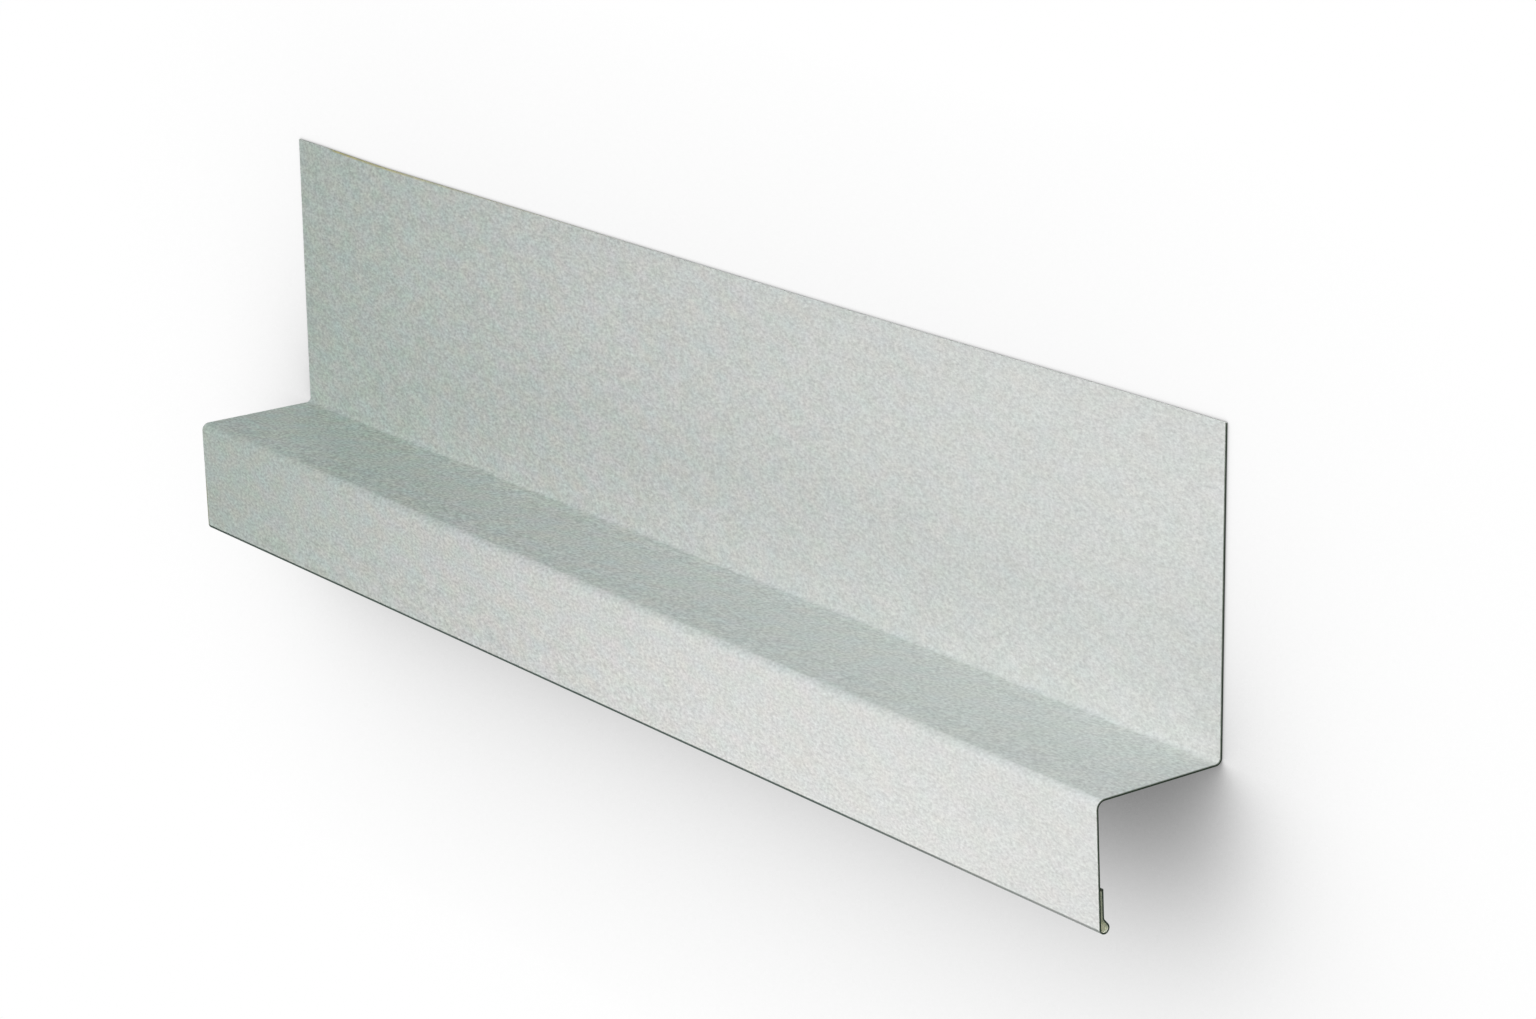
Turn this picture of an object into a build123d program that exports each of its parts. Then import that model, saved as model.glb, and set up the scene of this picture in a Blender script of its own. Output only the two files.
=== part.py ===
from build123d import *
import math
import os

# Base trim: one strip of coil-coated steel, brake-formed along its whole length.
# It lies as it would on a level floor, flat on the back of its wall flange.
#   +X  along the strip
#   +Y  from the shelf towards the free edge of the wall flange (up, once it is on a wall)
#   +Z  out of the wall
# The painted face looks along +Z on the flange and the leg, and along +Y on the shelf.
# Millimetres and degrees.

# Strip
LENGTH = 457.2  # cut length, 18 in
SHEET = 0.5  # sheet thickness, 26 gauge

# Legs of the section, each to the sharp corner where its painted faces would meet
FLANGE_HEIGHT = 88.9  # wall flange, free edge to shelf, 3-1/2 in
SHELF_DEPTH = 40.6  # shelf, painted face of the flange to painted face of the leg
LEG_DROP = 36.0  # drip leg, shelf to the underside of the hem

# Slopes
SHELF_FALL = 1.5  # the shelf drops towards the front, so that water runs off
LEG_TUCK = 1.5  # the leg leans back towards the wall at its foot

# Bends, inside radii
REAR_BEND_RADIUS = 1.5  # flange to shelf
FRONT_BEND_RADIUS = 2.0  # shelf to leg

# Open hem, folded back behind the leg
HEM_DEPTH = 12.3  # underside of the hem to the free edge of its lip
HEM_LOOP_RADIUS = 1.6  # outside radius of the rolled foot
HEM_GAP = 0.5  # slot between the leg and the lip
NECK_ANGLE = 40.0  # slant of the flank that closes the loop
NECK_RADIUS = 1.0  # outside radius of the bend that turns the flank parallel to the leg


def heading(angle):
    """Unit direction in the section, at an angle measured from +Y towards +Z."""
    return Vector(math.cos(math.radians(angle)), math.sin(math.radians(angle)))


def bend(path, radius, turn):
    """Arc tangent to the end of a path; a positive turn goes left."""
    return JernArc(path @ 1, path % 1, radius, turn)


def run(path, length):
    """Straight stretch that carries on from the end of a path."""
    return Line(path @ 1, path @ 1 + (path % 1) * length)


def painted_line():
    """Outline of the painted face, from the free edge of the flange to the lip of the hem."""
    flange_heading = 180.0
    shelf_heading = 90.0 + SHELF_FALL
    leg_heading = 180.0 + LEG_TUCK

    rear_turn = flange_heading - shelf_heading
    front_turn = leg_heading - shelf_heading
    foot_turn = 180.0 + NECK_ANGLE

    # The rear bend closes towards the paint, so its radius on the painted line is the inside one.
    # The front bend and the foot have the paint outside.
    rear_radius = REAR_BEND_RADIUS
    front_radius = FRONT_BEND_RADIUS + SHEET

    # What each bend takes off the two legs that meet at its sharp corner
    rear_setback = rear_radius * math.tan(math.radians(rear_turn / 2))
    front_setback = front_radius * math.tan(math.radians(front_turn / 2))

    # The flank brings the lip in from the full width of the loop to the two sheets and their slot
    neck_sine = math.sin(math.radians(NECK_ANGLE))
    neck_cosine = math.cos(math.radians(NECK_ANGLE))
    bend_radii = HEM_LOOP_RADIUS + NECK_RADIUS
    hem_closing = 2 * HEM_LOOP_RADIUS - 2 * SHEET - HEM_GAP
    flank = (hem_closing - bend_radii * (1 - neck_cosine)) / neck_sine
    neck_height = HEM_LOOP_RADIUS + bend_radii * neck_sine + flank * neck_cosine

    start = Vector(FLANGE_HEIGHT, SHEET)
    flange = Line(start, start + heading(flange_heading) * (FLANGE_HEIGHT - rear_setback))
    rear_bend = bend(flange, rear_radius, -rear_turn)
    shelf = run(rear_bend, SHELF_DEPTH - rear_setback - front_setback)
    front_bend = bend(shelf, front_radius, front_turn)
    leg = run(front_bend, LEG_DROP - front_setback - HEM_LOOP_RADIUS)
    foot = bend(leg, HEM_LOOP_RADIUS, foot_turn)
    hem_flank = run(foot, flank)
    neck = bend(hem_flank, NECK_RADIUS, -NECK_ANGLE)
    lip = run(neck, HEM_DEPTH - neck_height)
    return Wire([flange, rear_bend, shelf, front_bend, leg, foot, hem_flank, neck, lip])


def sheet_section():
    """Section of the folded sheet: the painted line, its parallel on the back and both free edges."""
    return make_face(painted_line().offset_2d(SHEET, side=Side.LEFT))


def base_trim():
    """The strip: its section carried along the length, centred over the floor it lies on."""
    strip = extrude(Plane.YZ * sheet_section(), LENGTH / 2, both=True)
    box = strip.bounding_box()
    return Pos(0, -box.center().Y, -box.min.Z) * strip


trim = base_trim()

os.makedirs("parts", exist_ok=True)
export_step(trim, "parts/base_trim.step")
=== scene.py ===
import math

import bpy
import numpy as np
from mathutils import Matrix, Vector


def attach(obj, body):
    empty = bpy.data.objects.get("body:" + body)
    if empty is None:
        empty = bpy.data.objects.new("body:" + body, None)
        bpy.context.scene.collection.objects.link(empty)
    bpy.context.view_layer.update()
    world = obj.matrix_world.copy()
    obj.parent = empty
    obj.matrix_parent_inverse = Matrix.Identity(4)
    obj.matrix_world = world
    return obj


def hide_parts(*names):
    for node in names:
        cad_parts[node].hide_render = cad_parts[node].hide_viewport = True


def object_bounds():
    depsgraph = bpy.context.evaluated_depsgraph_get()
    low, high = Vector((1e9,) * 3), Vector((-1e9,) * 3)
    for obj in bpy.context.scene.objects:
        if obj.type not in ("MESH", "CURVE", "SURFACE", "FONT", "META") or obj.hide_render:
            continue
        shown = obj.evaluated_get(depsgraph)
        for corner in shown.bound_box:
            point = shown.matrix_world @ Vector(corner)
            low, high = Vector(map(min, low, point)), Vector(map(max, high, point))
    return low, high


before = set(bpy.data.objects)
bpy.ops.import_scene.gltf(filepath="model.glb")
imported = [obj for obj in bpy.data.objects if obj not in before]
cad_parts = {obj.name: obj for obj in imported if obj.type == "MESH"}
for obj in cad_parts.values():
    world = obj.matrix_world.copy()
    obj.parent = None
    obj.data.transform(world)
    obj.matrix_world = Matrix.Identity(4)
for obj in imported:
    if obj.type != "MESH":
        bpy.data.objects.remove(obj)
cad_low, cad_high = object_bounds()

# Base trim: one strip of coil-coated steel with a wall flange, a shelf, a drip leg and an open hem.
# It lies on the back of its wall flange: +X along the strip, +Y up the flange, +Z out of the wall.
# Lengths are metres and angles are radians.

MM = 0.001
MICRON = 1e-6
DEGREE = math.pi / 180

NODE = "base_trim"
BODY = "root"

# Section, the same sizes as the solid's
SHEET = 0.5 * MM
FLANGE_HEIGHT = 88.9 * MM  # free edge to the sharp corner with the shelf
SHELF_DEPTH = 40.6 * MM  # painted face of the flange to painted face of the leg
LEG_DROP = 36.0 * MM  # shelf to the underside of the hem
SHELF_FALL = 1.5 * DEGREE
LEG_TUCK = 1.5 * DEGREE
REAR_BEND_RADIUS = 1.5 * MM  # inside
FRONT_BEND_RADIUS = 2.0 * MM  # inside
HEM_DEPTH = 12.3 * MM  # underside of the hem to the free edge of its lip
HEM_LOOP_RADIUS = 1.6 * MM  # outside
HEM_GAP = 0.5 * MM
NECK_ANGLE = 40.0 * DEGREE
NECK_RADIUS = 1.0 * MM

# What the brake and the shears left on this strip
LEFT_SPRING = -0.5 * DEGREE  # added to the leg's tuck at the left end
RIGHT_SPRING = 0.7 * DEGREE  # and at the right end
CAMBER = 0.95 * MM  # the flange's free edge dips this far below a straight line
CAMBER_FALL = 0.14  # it dips over this share of the length
CAMBER_RISE = (0.6, 1.0)  # and comes back between these two
WAVE_HEIGHT = 0.05 * MM  # faint waves in the flange
WAVE_COUNTS = (2.6, 4.3)  # along the strip
CUT_SKEW = 1.1 * MM  # at the left end the flange is cut this much shorter than the leg
SKEW_REACH = 40.0 * MM
RIM_RADIUS = 0.06 * MM  # both faces roll over along every cut
FOOT_SHADE_START = (0.05 * MM, 0.40 * MM)  # painted shade on the band that turns under at the foot, from the end of the leg
FOOT_SHADE_END = (2.1 * MM, 2.9 * MM)
BEND_FADE = 0.6 * MM  # the strain of a bend dies out over this distance past it

# Mesh
STATIONS = 150  # along the strip
RIM_STEPS = 3
PAST_RIM = 1.6  # the first station past a rim, in radii of the rim
RUN_STEPS = (40, 22, 18, 4, 10)  # flange, shelf, leg, flank of the hem, lip
BEND_STEPS = (12, 14, 30, 8)  # rear, front, foot, neck
FOOT = 5  # the foot's number among the nine stretches, with the flange as 0
PAINTED, BACK, SHEARED, SLIT = range(4)  # the mesh's materials

# Camera, from the lines of the photograph as if the strip stood on its wall
CAMERA_AZIMUTH = 54.46 * DEGREE  # round from straight in front of the wall
CAMERA_ELEVATION = 16.27 * DEGREE
CAMERA_ROLL = -0.84 * DEGREE
CAMERA_PLACE = Vector((1009.9, 346.3, 697.7)) * MM
SENSOR_WIDTH = 36.0  # mm
LENS = 102.6  # mm
CLIP_START, CLIP_END = 0.05, 50.0

# Studio
FLOOR_SIZE = 12.0
FLOOR_SHIFT = 2.0  # towards +Y, so that the diagonal of its one face stays out of the picture
FLOOR_GAP = 0.02 * MM  # keeps the floor from the strip's own back
FLOOR_TONE = 0.3
SHADE_REACH = 160.0 * MM  # the strip's shadow on the floor fades out over this distance
SHADE_DEPTH = 0.4  # how much deeper that shadow is than the share of the sky that the strip hides
FILL_COLOUR = (0.55, 1.0, 0.80, 1.0)
FILL_STRENGTH = 0.14
LAMPS = {  # place, width, watts and colour
    "before_leg": ((0.10, -0.25, 0.20), 0.15, 0.294, (1.0, 0.856, 0.91)),
    "overhead": ((0.25, 0.00, 0.80), 0.20, 3.95, (1.0, 0.906, 0.98)),
    "beyond_flange": ((0.40, 0.70, 0.10), 0.20, 2.67, (0.928, 0.918, 1.0)),
    "under_shelf": ((0.0, -0.80, 0.06), 0.10, 1.7, (1.0, 0.92, 0.94)),
    "into_hem": ((0.70, 0.10, 0.35), 0.20, 1.16, (1.0, 0.90, 0.95)),
}
AIM = Vector((0.0, 0.0, 20.0)) * MM

# Colours of the finishes
GREEN_SILVER = (0.588, 0.648, 0.586, 1)
ROSY_SILVER = (0.632, 0.640, 0.588, 1)
COOL_GREEN_SILVER = (0.586, 0.646, 0.620, 1)
COOL_ROSY_SILVER = (0.630, 0.638, 0.622, 1)
# painted shade: greener and darker at the left end
LEFT_SHADE_TINT = (0.955, 1, 0.975, 1)
NO_TINT = (1, 1, 1, 1)
TAN_STAIN = (0.56, 0.52, 0.25, 1)
# dark coat at the cut ends, partly its cut edge and partly painted shade
DARK_CUT_AND_SHADE = (0.055, 0.075, 0.050, 1)
# painted shade: olive on the lower left end of the leg
OLIVE_SHADE = (0.24, 0.25, 0.12, 1)
# painted shade where the foot turns under
PAINTED_FOOT_SHADE = (0.012, 0.034, 0.024, 1)
CREAM_WASH = (0.90, 0.93, 0.76, 1)
THIN_WASH = (0.62, 0.68, 0.55, 1)
# painted shade of the wash inside the hem's slot
SLOT_SHADE_WASH = (0.26, 0.33, 0.26, 1)
# very dark: the steel's own oxide and painted shade of the cut ends
BURNISHED_STEEL = (0.030, 0.050, 0.030, 1)
TORN_STEEL = (0.012, 0.022, 0.012, 1)
PALE_PRIMER = (0.80, 0.82, 0.74, 1)
TAN_PRIMER = (0.60, 0.54, 0.20, 1)
# painted shade on the slit edge of the hem's lip
LIP_EDGE_SHADE = (0.045, 0.058, 0.045, 1)

# Where the finishes change, along the strip from its middle
GRAIN_FADE = (-230.0 * MM, 230.0 * MM)
# where the painted shade tint of the left end fades out
LEFT_SHADE_FADE = (-230.0 * MM, -40.0 * MM)
STAIN_START = (-209.0 * MM, -204.0 * MM)
STAIN_FADE = (-200.0 * MM, -100.0 * MM)
# where the painted olive shade on the leg ends
OLIVE_SHADE_END = (-228.4 * MM, -227.6 * MM)
# the painted shade under the foot pales towards the right end
FOOT_SHADE_PALES = (100.0 * MM, 225.0 * MM)
EDGE_STAIN_START = (-212.0 * MM, -205.0 * MM)
EDGE_STAIN_FADE = (-190.0 * MM, 0.0)

# Up the strip from its middle
# how high the painted olive shade reaches on the leg
OLIVE_SHADE_HEIGHT = (-50.0 * MM, -42.0 * MM)
LIP_TO_TOP = (-40.0 * MM, 0.0)  # the hem's lip lies below this and the flange's free edge above it

# Across the painted face from the flange's free edge
STAIN_DEPTH = (0.25 * MM, 0.7 * MM)
SHELF_START = (88.0 * MM, 91.0 * MM)
SHELF_END = (125.0 * MM, 128.0 * MM)

# Inwards from both ends
EDGE_HIGHLIGHT = (0.3 * MM, 0.7 * MM)  # a painted highlight of the rolled edge, a paler band
# bands of the coat's dark cut edge, partly painted shade
CUT_AND_SHADE_BAND = (0.08 * MM, 0.18 * MM)
BACK_CUT_AND_SHADE_BAND = (0.06 * MM, 0.14 * MM)

# Inwards from the edge of the hem's lip, on the back
# painted shade at the top of the hem's slot, along the lip's edge
LIP_EDGE_BACK_SHADE = (0.5 * MM, 0.8 * MM)
# painted shade inside the hem's slot
SLOT_SHADE_DEPTH = (6.0 * MM, 9.5 * MM)

FRACTURE = (0.25, 0.45)  # where a cut turns from burnished to torn, in shares of the sheet
THIN_SPOTS = (0.25, 0.9)  # levels of noise between which the wash coat thins
ROLLED = (1.7, 1, 1)  # grain and patches are longer along the coil


def smooth_step(value, start, end):
    """0 before start, 1 after end, and between them 3 t^2 - 2 t^3 of the share t that is passed."""
    share = np.clip((value - start) / (end - start), 0.0, 1.0)
    return share * share * (3 - 2 * share)


def section_stretches():
    """Length and turn of each stretch of the painted outline, from the flange's free edge to the lip.

    A bend of radius r and turn t takes r tan(t / 2) off each of the legs that meet at its sharp corner.
    The hem's flank closes the loop from its full width down to two sheets and the slot between them.
    """
    rear_turn = math.pi / 2 - SHELF_FALL
    front_turn = math.pi / 2 - SHELF_FALL + LEG_TUCK
    foot_turn = math.pi + NECK_ANGLE
    front_radius = FRONT_BEND_RADIUS + SHEET
    rear_setback = REAR_BEND_RADIUS * math.tan(rear_turn / 2)
    front_setback = front_radius * math.tan(front_turn / 2)
    neck_sine, neck_cosine = math.sin(NECK_ANGLE), math.cos(NECK_ANGLE)
    both_radii = HEM_LOOP_RADIUS + NECK_RADIUS
    closing = 2 * HEM_LOOP_RADIUS - 2 * SHEET - HEM_GAP
    flank = (closing - both_radii * (1 - neck_cosine)) / neck_sine
    neck_height = HEM_LOOP_RADIUS + both_radii * neck_sine + flank * neck_cosine
    lengths = [
        FLANGE_HEIGHT - rear_setback,
        REAR_BEND_RADIUS * rear_turn,
        SHELF_DEPTH - rear_setback - front_setback,
        front_radius * front_turn,
        LEG_DROP - front_setback - HEM_LOOP_RADIUS,
        HEM_LOOP_RADIUS * foot_turn,
        flank,
        NECK_RADIUS * NECK_ANGLE,
        HEM_DEPTH - neck_height,
    ]
    turns = [0, -rear_turn, 0, front_turn, 0, foot_turn, 0, -NECK_ANGLE, 0]
    return np.array(lengths), np.array(turns)


def rim_stations():
    """Distances from a cut of the points of a quarter circle, r (1 - cos a), and of one just past it."""
    angles = np.linspace(0, math.pi / 2, RIM_STEPS)
    return RIM_RADIUS * np.append(1 - np.cos(angles), PAST_RIM)


def rim_drop(from_cut):
    """How far a face has rolled over at a distance d from a cut: r - sqrt(r^2 - (r - d)^2), 0 past r."""
    inside = np.clip(RIM_RADIUS - from_cut, 0, RIM_RADIUS)
    return RIM_RADIUS - np.sqrt(RIM_RADIUS**2 - inside**2)


def with_rims(stations):
    """Stations along or across the strip, with the rim's own at both ends in place of those near it."""
    length = stations[-1]
    kept = stations[(stations > 2 * RIM_RADIUS) & (stations < length - 2 * RIM_RADIUS)]
    return np.concatenate([rim_stations(), kept, length - rim_stations()[::-1]])


def section():
    """The painted outline: points (y, z), heading and distance at each station, and where stretches meet.

    Each stretch has one curvature, so the heading is linear in the distance. A step of length d that
    turns by t ends one chord on: d sin(t / 2) / (t / 2) along the mean of its two headings. Stations
    close up towards both ends of a stretch as 1 - cos does.
    """
    lengths, turns = section_stretches()
    joints = np.append(0, np.cumsum(lengths))
    headings = math.pi + np.append(0, np.cumsum(turns))
    steps = np.empty(len(lengths), int)
    steps[0::2] = RUN_STEPS
    steps[1::2] = BEND_STEPS
    shares = [(1 - np.cos(np.linspace(0, math.pi, count + 1)[:-1])) / 2 for count in steps]
    inner = [start + length * share for start, length, share in zip(joints, lengths, shares)]
    distance = with_rims(np.append(np.concatenate(inner), joints[-1]))
    heading = np.interp(distance, joints, headings)
    turn = np.diff(heading)
    chord = np.diff(distance) * np.sinc(turn / (2 * math.pi))
    mean = heading[:-1] + turn / 2
    steps_yz = np.stack([chord * np.cos(mean), chord * np.sin(mean)], axis=1)
    points = np.concatenate([np.zeros((1, 2)), np.cumsum(steps_yz, axis=0)])
    return points, heading, distance, joints


def out_of_true(points, share, corner_y):
    """Moves points of the ideal strip as the brake and the shears left the real one.

    Below the front bend the leg moves in by its depth there times the tangent of the spring, which goes
    evenly from end to end. Two sines along the strip times a parabola up the flange give it its faint
    waves, and its height shrinks by the camber. Near the left end the flange is drawn in by the skew of
    the cut, and the shelf by less and less towards the leg.
    """
    x, y, z = np.moveaxis(points, -1, 0)
    height = np.clip((y - corner_y) / FLANGE_HEIGHT, 0, 1)
    bend_y = corner_y - SHELF_DEPTH * math.sin(SHELF_FALL) - FRONT_BEND_RADIUS
    depth = np.clip(bend_y - y, 0, None)
    spring = LEFT_SPRING + (RIGHT_SPRING - LEFT_SPRING) * share
    camber = CAMBER * smooth_step(share, 0, CAMBER_FALL) * (1 - smooth_step(share, *CAMBER_RISE))
    waves = sum(1 + np.sin(2 * math.pi * count * share + count) for count in WAVE_COUNTS)
    out = WAVE_HEIGHT * waves * 2 * height * (1 - height)
    near_end = 1 - smooth_step(x - cad_low.x, 0, SKEW_REACH)
    skew = CUT_SKEW * near_end * np.clip(1 - z / SHELF_DEPTH, 0, 1)
    return np.stack([x + skew, y - camber * height, z + out - np.tan(spring) * depth], axis=-1)


def grid_quads(columns, rows):
    """Quads of a grid of points stored column by column, wound from its rows to its columns."""
    corner = (np.arange(columns - 1)[:, None] * rows + np.arange(rows - 1)).ravel()
    return np.stack([corner, corner + 1, corner + rows + 1, corner + rows], axis=1)


def grid_border(columns, rows):
    """Points round such a grid: along its first row, up its last column and back by the other two."""
    index = np.arange(columns * rows).reshape(columns, rows)
    return np.concatenate([index[:, 0], index[-1, 1:], index[-2::-1, -1], index[0, -2:0:-1]])


def bend_strain(distance, joints):
    """1 in each bend and 0 away from it: half the difference of the hyperbolic tangents at its ends."""
    starts, ends = joints[1:-1:2, None], joints[2::2, None]
    into = np.tanh((distance - starts) / BEND_FADE)
    out_of = np.tanh((distance - ends) / BEND_FADE)
    return np.sum(into - out_of, axis=0) / 2


def painted_foot_shade(distance, joints):
    """1 on the band that turns under at the hem's rolled foot, where shade is painted, and 0 elsewhere."""
    past_leg = distance - joints[FOOT]
    return smooth_step(past_leg, *FOOT_SHADE_START) * (1 - smooth_step(past_leg, *FOOT_SHADE_END))


def folded_strip():
    """The whole strip as one closed mesh.

    The painted face is a grid of stations along the strip by stations across it. The back is the same
    grid one sheet thickness further along the section's left normal. Near a cut both faces roll over
    towards the middle of the sheet, and a band of quads round the border closes the cut.
    """
    outline, heading, distance, joints = section()
    normal = np.stack([-np.sin(heading), np.cos(heading)], axis=1)
    lowest = np.minimum(outline.min(axis=0), (outline + SHEET * normal).min(axis=0))
    outline = outline - lowest + np.array([cad_low.y, cad_low.z])
    corner_y = outline[0, 0] - FLANGE_HEIGHT

    length = cad_high.x - cad_low.x
    along = with_rims(np.linspace(0, length, STATIONS))
    columns, rows = len(along), len(distance)
    share = along[:, None] / length
    to_end = np.broadcast_to(np.minimum(along, length - along)[:, None], (columns, rows))
    to_edge = np.minimum(distance, distance[-1] - distance)
    drop = rim_drop(np.minimum(to_end, to_edge))

    def face(offset):
        """A face's points, at an offset from the painted outline towards the back."""
        yz = outline + offset[..., None] * normal
        x = np.broadcast_to(cad_low.x + along[:, None, None], (columns, rows, 1))
        points = out_of_true(np.concatenate([x, yz], axis=-1), share, corner_y)
        return np.clip(points, cad_low, cad_high).reshape(-1, 3)

    count = columns * rows
    painted = grid_quads(columns, rows)
    back = painted[:, ::-1] + count
    border = grid_border(columns, rows)
    following = np.roll(border, -1)
    cut = np.stack([border, following, following + count, border + count], axis=1)
    quads = np.concatenate([painted, back, cut])
    mesh = bpy.data.meshes.new("strip")
    mesh.from_pydata(np.concatenate([face(drop), face(SHEET - drop)]).tolist(), [], quads.tolist())
    run, across = columns - 1, rows - 1
    kinds = [PAINTED, BACK, SLIT, SHEARED, SLIT, SHEARED]
    finish = np.repeat(kinds, [len(painted), len(back), run, across, run, across])
    mesh.polygons.foreach_set("material_index", finish.astype(np.int32))
    mesh.shade_smooth()

    stored = {
        "bend": bend_strain(distance, joints),
        "painted_foot_shade": painted_foot_shade(distance, joints),
        "to_end": to_end,
        "to_lip": distance[-1] - distance,
    }
    for name, values in stored.items():
        on_face = np.broadcast_to(values, (columns, rows)).ravel()
        attribute = mesh.attributes.new(name, "FLOAT", "POINT")
        attribute.data.foreach_set("value", np.tile(on_face, 2).astype(np.float32))
    through = mesh.attributes.new("through", "FLOAT", "POINT")
    through.data.foreach_set("value", np.repeat([0.0, 1.0], count).astype(np.float32))
    developed = np.stack(np.broadcast_arrays(along[:, None], distance), axis=-1).reshape(-1, 2)
    at_corners = np.tile(developed, (2, 1))[quads.ravel()]
    mesh.uv_layers.new(name="developed").data.foreach_set("uv", at_corners.astype(np.float32).ravel())
    mesh.update()
    strip = bpy.data.objects.new("folded_strip", mesh)
    bpy.context.scene.collection.objects.link(strip)
    return strip


def arithmetic(operation):
    """The forward and the reflected form of one operator on signals."""

    def forward(self, other):
        return self.nodes.add("ShaderNodeMath", {"operation": operation}, {0: self, 1: other})

    def reflected(self, other):
        return self.nodes.add("ShaderNodeMath", {"operation": operation}, {0: other, 1: self})

    return forward, reflected


class Signal:
    """An output of a node. Arithmetic on it adds the Math nodes of the expression."""

    __add__, __radd__ = arithmetic("ADD")
    __sub__, __rsub__ = arithmetic("SUBTRACT")
    __mul__, __rmul__ = arithmetic("MULTIPLY")

    def __init__(self, nodes, socket):
        self.nodes = nodes
        self.socket = socket

    def output(self, name):
        """Another output of the same node."""
        return Signal(self.nodes, self.socket.node.outputs[name])


class Nodes:
    """The nodes of one material or of the world."""

    def __init__(self, tree):
        self.tree = tree
        tree.nodes.clear()

    def add(self, kind, settings=None, sockets=None, output=0):
        """Adds a node: its settings, then the value or link of each socket. Gives back one output."""
        node = self.tree.nodes.new(kind)
        for name, value in (settings or {}).items():
            setattr(node, name, value)
        for name, value in (sockets or {}).items():
            if isinstance(value, Signal):
                self.tree.links.new(value.socket, node.inputs[name])
            else:
                node.inputs[name].default_value = value
        return Signal(self, node.outputs[output]) if node.outputs else None

    def noise(self, place, size, stretch=(1, 1, 1), detail=2.0, shift=0.0):
        """Noise from about -1 to 1, its features of a size in metres, longer where stretch is over 1."""
        scale = [1 / (size * factor) for factor in stretch]
        sockets = {"Vector": place, "Location": [shift] * 3, "Scale": scale}
        moved = self.add("ShaderNodeMapping", None, sockets)
        return 2 * self.add("ShaderNodeTexNoise", None, {"Vector": moved, "Scale": 1.0, "Detail": detail}) - 1

    def step(self, value, low, high):
        """0 up to low and 1 from high, with a smooth step between them."""
        sockets = {"Value": value, "From Min": low, "From Max": high}
        return self.add("ShaderNodeMapRange", {"interpolation_type": "SMOOTHSTEP"}, sockets)

    def until(self, value, low, high):
        """1 up to low and 0 from high."""
        return 1 - self.step(value, low, high)

    def mix(self, share, first, second):
        """A colour that goes from the first to the second with share.

        The node has sockets for each kind of value: 6 and 7 are its colours, and 2 is their mix.
        """
        return self.add("ShaderNodeMix", {"data_type": "RGBA"}, {0: share, 6: first, 7: second}, 2)

    def scaled(self, colour, factor):
        """A colour times a number."""
        return self.add("ShaderNodeVectorMath", {"operation": "SCALE"}, {0: colour, "Scale": factor})

    def tinted(self, colour, tint):
        """A colour times another."""
        return self.add("ShaderNodeVectorMath", {"operation": "MULTIPLY"}, {0: colour, 1: tint})

    def stored(self, name):
        """A number stored on the mesh."""
        return self.add("ShaderNodeAttribute", {"attribute_name": name}, None, "Fac")

    def bump(self, height):
        """A normal moved by a height in metres."""
        return self.add("ShaderNodeBump", None, {"Height": height, "Distance": 1.0, "Strength": 1.0})

    def seen(self):
        """1 where the camera meets this, straight, in gloss or through glass, and 0 for other rays."""
        straight = self.add("ShaderNodeLightPath", None, None, "Is Camera Ray")
        return straight + straight.output("Is Glossy Ray") + straight.output("Is Transmission Ray")


def new_material(name):
    """An empty material and its nodes."""
    made = bpy.data.materials.new(name)
    made.use_nodes = True
    return made, Nodes(made.node_tree)


def surface(nodes, sockets):
    """Ends a material with its shader."""
    shader = nodes.add("ShaderNodeBsdfPrincipled", None, sockets)
    nodes.add("ShaderNodeOutputMaterial", None, {"Surface": shader})


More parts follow.
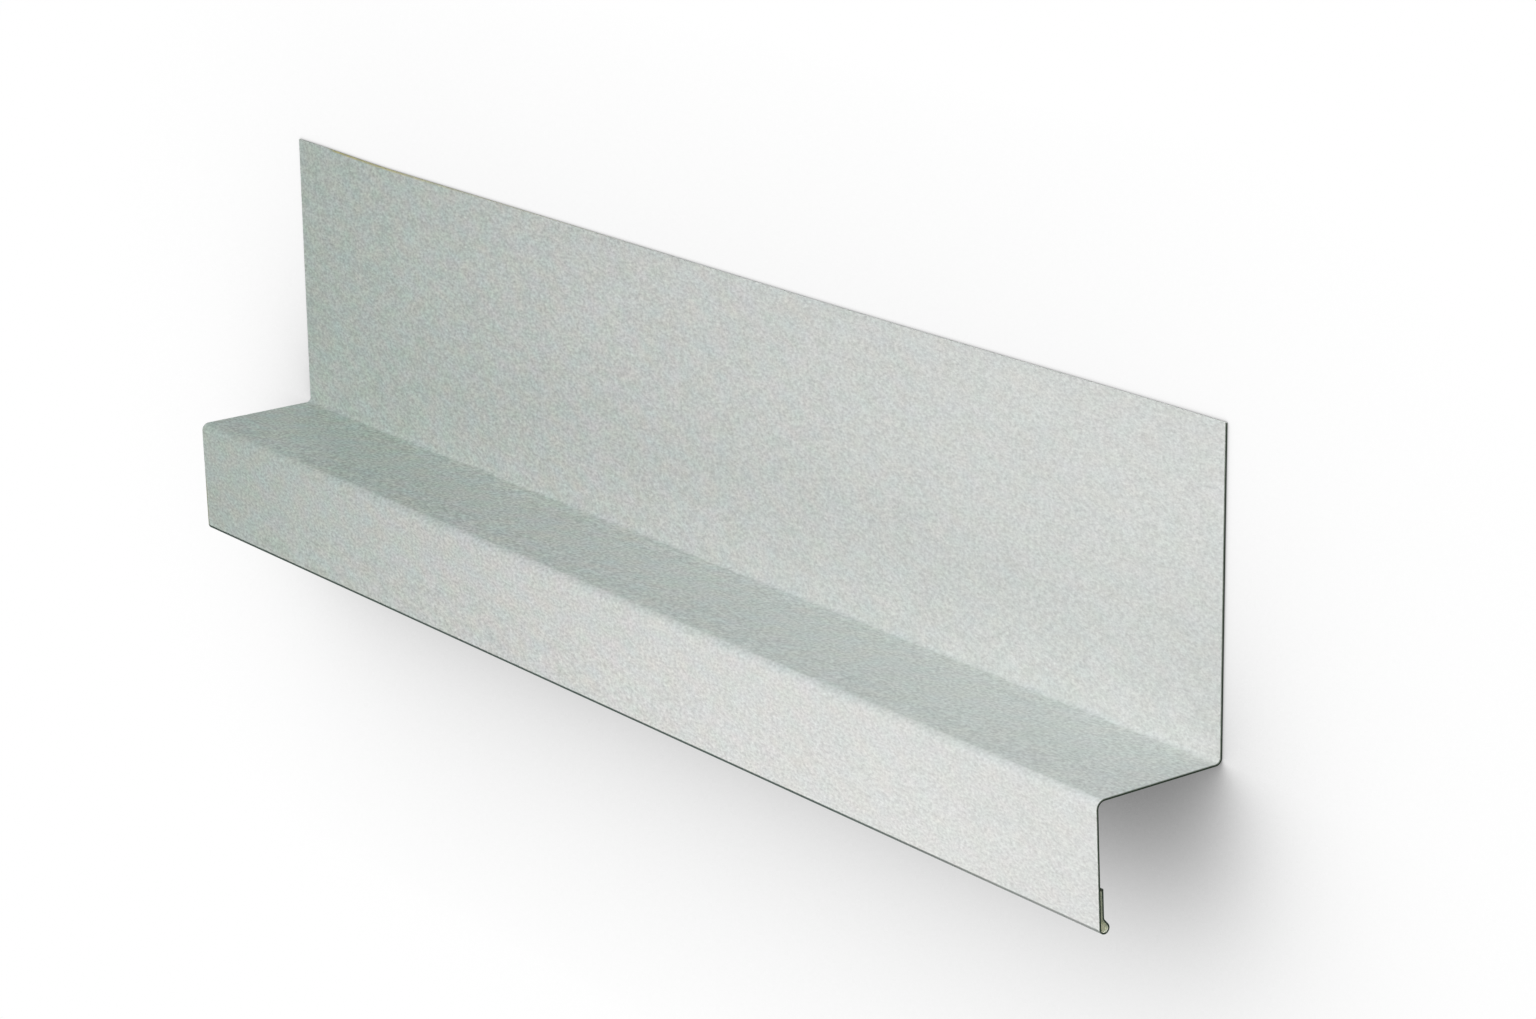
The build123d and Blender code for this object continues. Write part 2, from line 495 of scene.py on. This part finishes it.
def painted_coat():
    """Satin silver-grey coating: metallic grain, patches of hue, drawn lines, paler bends, painted shade and
    highlight.

    The grain and the patches are stronger towards the left end, where the coat is also tinted greener and
    darker as painted shade, and the grain is stronger on the shelf. The coat is dark right at the sheared
    ends, partly its cut edge and partly painted shade, with a paler band inside as a painted highlight of the
    rolled edge.
    Painted shade darkens the band where the foot turns under, the flange's free edge is tan near its left
    end, and the left end of the leg is painted olive as shade. Distances to the ends count for less towards
    the right, so the dark band is wider there, above all on the shelf.
    """
    made, nodes = new_material("painted_coat")
    place = nodes.add("ShaderNodeTexCoord", None, None, "Object")
    developed = nodes.add("ShaderNodeUVMap", {"uv_map": "developed"})
    along = nodes.add("ShaderNodeSeparateXYZ", None, {0: place}, "X")
    up = along.output("Y")
    from_top = nodes.add("ShaderNodeSeparateXYZ", None, {0: developed}, "Y")
    leftness = nodes.until(along, *GRAIN_FADE)
    above_leg = nodes.until(from_top, *SHELF_END)
    on_shelf = above_leg * nodes.step(from_top, *SHELF_START)
    coarse = (0.75 + 0.6 * leftness) * (1 + 0.4 * on_shelf)
    grain = nodes.noise(place, 0.8 * MM, ROLLED, detail=3.0) * coarse
    flake = nodes.noise(place, 0.45 * MM, ROLLED, detail=0.0, shift=7.0)
    mottle = nodes.noise(place, 22 * MM)
    patch = 0.55 + leftness
    rosy = nodes.noise(place, 5 * MM, ROLLED, detail=1.0, shift=3.0) * patch
    cool = nodes.noise(place, 6 * MM, ROLLED, detail=1.0, shift=11.0) * patch
    drawn = nodes.noise(developed, 1.2 * MM, stretch=(160, 1, 1))
    peel = nodes.noise(place, 1.6 * MM, detail=1.0, shift=5.0)
    bend = nodes.stored("bend")
    foot = nodes.stored("painted_foot_shade")
    to_end = nodes.stored("to_end")
    # painted highlight: a paler band just inside each cut end
    edge_highlight = nodes.until(to_end, *EDGE_HIGHLIGHT)
    # dark band at the cut ends: the coat's cut edge and painted shade, widened towards the right
    narrowed = 1 - (1 - leftness) * (0.4 + 0.15 * above_leg + 0.10 * on_shelf)
    cut_and_shade = nodes.until(to_end * narrowed, *CUT_AND_SHADE_BAND)
    tone = 1 + 0.40 * grain + 0.12 * flake + 0.03 * mottle + 0.015 * drawn + 0.01 * bend + 0.08 * edge_highlight
    warm_hue = nodes.mix(0.5 + 0.9 * rosy, GREEN_SILVER, ROSY_SILVER)
    cool_hue = nodes.mix(0.5 + 0.9 * rosy, COOL_GREEN_SILVER, COOL_ROSY_SILVER)
    hue = nodes.mix(0.5 + 0.9 * cool, warm_hue, cool_hue)
    # painted shade: the coat is tinted greener and darker towards the left end
    tinted_hue = nodes.tinted(hue, nodes.mix(nodes.step(along, *LEFT_SHADE_FADE), LEFT_SHADE_TINT, NO_TINT))
    near_left = nodes.step(along, *STAIN_START) * nodes.until(along, *STAIN_FADE)
    stain = near_left * nodes.until(from_top, *STAIN_DEPTH) * (0.9 + 0.6 * grain)
    stained = nodes.mix(stain, tinted_hue, TAN_STAIN)
    # painted shade: olive at the lower left end of the leg
    left_olive_shade = nodes.until(along, *OLIVE_SHADE_END) * nodes.until(up, *OLIVE_SHADE_HEIGHT)
    ended = nodes.mix(0.9 * cut_and_shade, stained, DARK_CUT_AND_SHADE)
    edged = nodes.mix(0.75 * left_olive_shade, ended, OLIVE_SHADE)
    # painted shade on the band where the foot turns under, paler towards the right end
    dark = (0.98 - 0.30 * nodes.step(along, *FOOT_SHADE_PALES)) * foot
    surface(nodes, {
        "Base Color": nodes.mix(dark, nodes.scaled(edged, tone), PAINTED_FOOT_SHADE),
        "Metallic": 0.12,
        "Specular IOR Level": 0.3,
        "Roughness": 0.54 + 0.06 * grain + 0.05 * bend + 0.02 * mottle + 0.15 * foot,
        "Normal": nodes.bump(6 * MICRON * peel + 1.5 * MICRON * drawn),
    })
    return made


def back_coat():
    """Thin cream wash coat, streaked along the coil, with thin spots.

    It is dark at its ends, partly as painted shade, and painted shade darkens it along the lip's edge
    and on the side of the lip that looks into the hem's slot.
    """
    made, nodes = new_material("back_coat")
    place = nodes.add("ShaderNodeTexCoord", None, None, "Object")
    developed = nodes.add("ShaderNodeUVMap", {"uv_map": "developed"})
    streak = nodes.noise(developed, 2.5 * MM, stretch=(70, 1, 1), detail=3.0)
    cloud = nodes.noise(place, 35 * MM, detail=3.0)
    grain = nodes.noise(place, 0.9 * MM, detail=1.0, shift=4.0)
    thin = nodes.step(streak + 0.7 * cloud, *THIN_SPOTS)
    bend = nodes.stored("bend")
    wash = nodes.mix(0.4 * thin, CREAM_WASH, THIN_WASH)
    # dark band at the cut ends: the coat's cut edge and painted shade
    cut_and_shade = nodes.until(nodes.stored("to_end"), *BACK_CUT_AND_SHADE_BAND)
    to_lip = nodes.stored("to_lip")
    # painted shade along the lip's edge, at the top of the hem's slot
    lip_back_shade = nodes.until(to_lip, *LIP_EDGE_BACK_SHADE)
    # painted shade on the side of the lip that looks into the hem's slot
    shade_in_slot = nodes.until(to_lip, *SLOT_SHADE_DEPTH)
    tone = 1 + 0.04 * streak + 0.05 * grain + 0.03 * bend
    shaded_wash = nodes.mix(0.4 * shade_in_slot, wash, SLOT_SHADE_WASH)
    edged = nodes.mix(0.9 * cut_and_shade, shaded_wash, DARK_CUT_AND_SHADE)
    surface(nodes, {
        "Base Color": nodes.scaled(edged, tone * (1 - 0.85 * lip_back_shade)),
        "Metallic": 0.0,
        "Roughness": 0.36 + 0.05 * cloud + 0.04 * grain,
        "Normal": nodes.bump(4 * MICRON * grain + 2 * MICRON * streak),
    })
    return made


def sheared_end():
    """Cut steel of both ends: a smoother burnished band next to the paint, torn and darker behind it.

    Both are darker than bare steel, partly its own oxide and partly painted shade of the cut ends.
    """
    made, nodes = new_material("sheared_end")
    place = nodes.add("ShaderNodeTexCoord", None, None, "Object")
    through = nodes.stored("through")
    torn = nodes.noise(place, 0.25 * MM, detail=3.0)
    stain = nodes.noise(place, 14 * MM, shift=2.0)
    fracture = nodes.step(through + 0.12 * torn, *FRACTURE)
    steel = nodes.mix(fracture, BURNISHED_STEEL, TORN_STEEL)
    surface(nodes, {
        "Base Color": nodes.scaled(steel, 1 + 0.25 * torn + 0.3 * stain),
        "Metallic": 0.0,
        "Specular IOR Level": 0.2,
        "Roughness": 0.55 + 0.15 * fracture + 0.1 * torn,
        "Normal": nodes.bump(12 * MICRON * torn),
    })
    return made


def slit_edge():
    """Slit long edges: pale primer with a tan stain on the flange's free edge, painted dark as shade on the
    hem's lip.
    """
    made, nodes = new_material("slit_edge")
    place = nodes.add("ShaderNodeTexCoord", None, None, "Object")
    along = nodes.add("ShaderNodeSeparateXYZ", None, {0: place}, "X")
    up = along.output("Y")
    torn = nodes.noise(place, 0.4 * MM, detail=3.0)
    cloud = nodes.noise(place, 16 * MM, stretch=(2, 1, 1), shift=2.0)
    stained = nodes.step(along, *EDGE_STAIN_START) * nodes.until(along, *EDGE_STAIN_FADE)
    pale = nodes.mix(stained + 0.5 * cloud * stained, PALE_PRIMER, TAN_PRIMER)
    colour = nodes.mix(nodes.step(up, *LIP_TO_TOP), LIP_EDGE_SHADE, pale)
    surface(nodes, {
        "Base Color": nodes.scaled(colour, 1 + 0.2 * torn + 0.1 * cloud),
        "Metallic": 0.0,
        "Roughness": 0.6 + 0.1 * torn,
        "Normal": nodes.bump(8 * MICRON * torn),
    })
    return made


def floor_material():
    """Plain floor that bounces little light, white to the camera but for the soft shadow of the strip."""
    made, nodes = new_material("floor")
    open_sky = nodes.add("ShaderNodeAmbientOcclusion", {"samples": 16}, {"Distance": SHADE_REACH}, "AO")
    white = nodes.scaled((1, 1, 1), open_sky * (1 - SHADE_DEPTH * (1 - open_sky)))
    bounced = nodes.add("ShaderNodeBsdfDiffuse", None, {"Color": (FLOOR_TONE, FLOOR_TONE, FLOOR_TONE, 1)})
    shown = nodes.add("ShaderNodeEmission", None, {"Color": white, "Strength": 1.0})
    shader = nodes.add("ShaderNodeMixShader", None, {0: nodes.seen(), 1: bounced, 2: shown})
    nodes.add("ShaderNodeOutputMaterial", None, {"Surface": shader})
    return made


def studio_floor():
    """A square floor just under the strip."""
    half = FLOOR_SIZE / 2
    near, far = FLOOR_SHIFT - half, FLOOR_SHIFT + half
    height = cad_low.z - FLOOR_GAP
    corners = [(-half, near, height), (half, near, height), (half, far, height), (-half, far, height)]
    mesh = bpy.data.meshes.new("floor")
    mesh.from_pydata(corners, [], [(0, 1, 2, 3)])
    mesh.materials.append(floor_material())
    floor = bpy.data.objects.new("floor", mesh)
    bpy.context.scene.collection.objects.link(floor)


def studio_world():
    """Even fill light from all round, and white where the camera looks past the floor."""
    world = bpy.data.worlds.new("studio")
    world.use_nodes = True
    nodes = Nodes(world.node_tree)
    seen = nodes.seen()
    colour = nodes.mix(seen, FILL_COLOUR, (1, 1, 1, 1))
    strength = FILL_STRENGTH + (1 - FILL_STRENGTH) * seen
    light = nodes.add("ShaderNodeBackground", None, {"Color": colour, "Strength": strength})
    nodes.add("ShaderNodeOutputWorld", None, {"Surface": light})
    bpy.context.scene.world = world


def soft_lamp(name, place, width, power, colour):
    """A square lamp that faces the strip."""
    light = bpy.data.lights.new(name, "AREA")
    light.size = width
    light.energy = power
    light.color = colour
    lamp = bpy.data.objects.new(name, light)
    lamp.location = place
    lamp.rotation_euler = (AIM - Vector(place)).to_track_quat("-Z", "Y").to_euler()
    lamp.visible_camera = False
    bpy.context.scene.collection.objects.link(lamp)


def photograph_camera():
    """The photograph's camera, its directions worked out with the strip standing on its wall.

    Backwards is (sin a cos e, -cos a cos e, sin e) with the length as X and up as Z, the right is level,
    and the roll turns both about the line of sight. Laid down, (x, y, z) of the wall is (x, z, -y) here.
    """
    azimuth, elevation = CAMERA_AZIMUTH, CAMERA_ELEVATION
    flat = math.cos(elevation)
    backwards = Vector((math.sin(azimuth) * flat, -math.cos(azimuth) * flat, math.sin(elevation)))
    right = Vector((0, 0, 1)).cross(backwards).normalized()
    upright = Matrix((right, backwards.cross(right), backwards)).transposed()
    laid_down = Matrix(((1, 0, 0), (0, 0, 1), (0, -1, 0)))
    rolled = laid_down @ upright @ Matrix.Rotation(CAMERA_ROLL, 3, "Z")
    data = bpy.data.cameras.new("camera")
    data.sensor_width = SENSOR_WIDTH
    data.lens = LENS
    data.clip_start = CLIP_START
    data.clip_end = CLIP_END
    camera = bpy.data.objects.new("camera", data)
    camera.matrix_world = Matrix.Translation(CAMERA_PLACE) @ rolled.to_4x4()
    bpy.context.scene.collection.objects.link(camera)
    bpy.context.scene.camera = camera


strip = folded_strip()
for coat in (painted_coat(), back_coat(), sheared_end(), slit_edge()):
    strip.data.materials.append(coat)
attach(strip, BODY)
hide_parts(NODE)

studio_floor()
studio_world()
for name, settings in LAMPS.items():
    soft_lamp(name, *settings)
photograph_camera()
bpy.context.scene.view_settings.view_transform = "Standard"
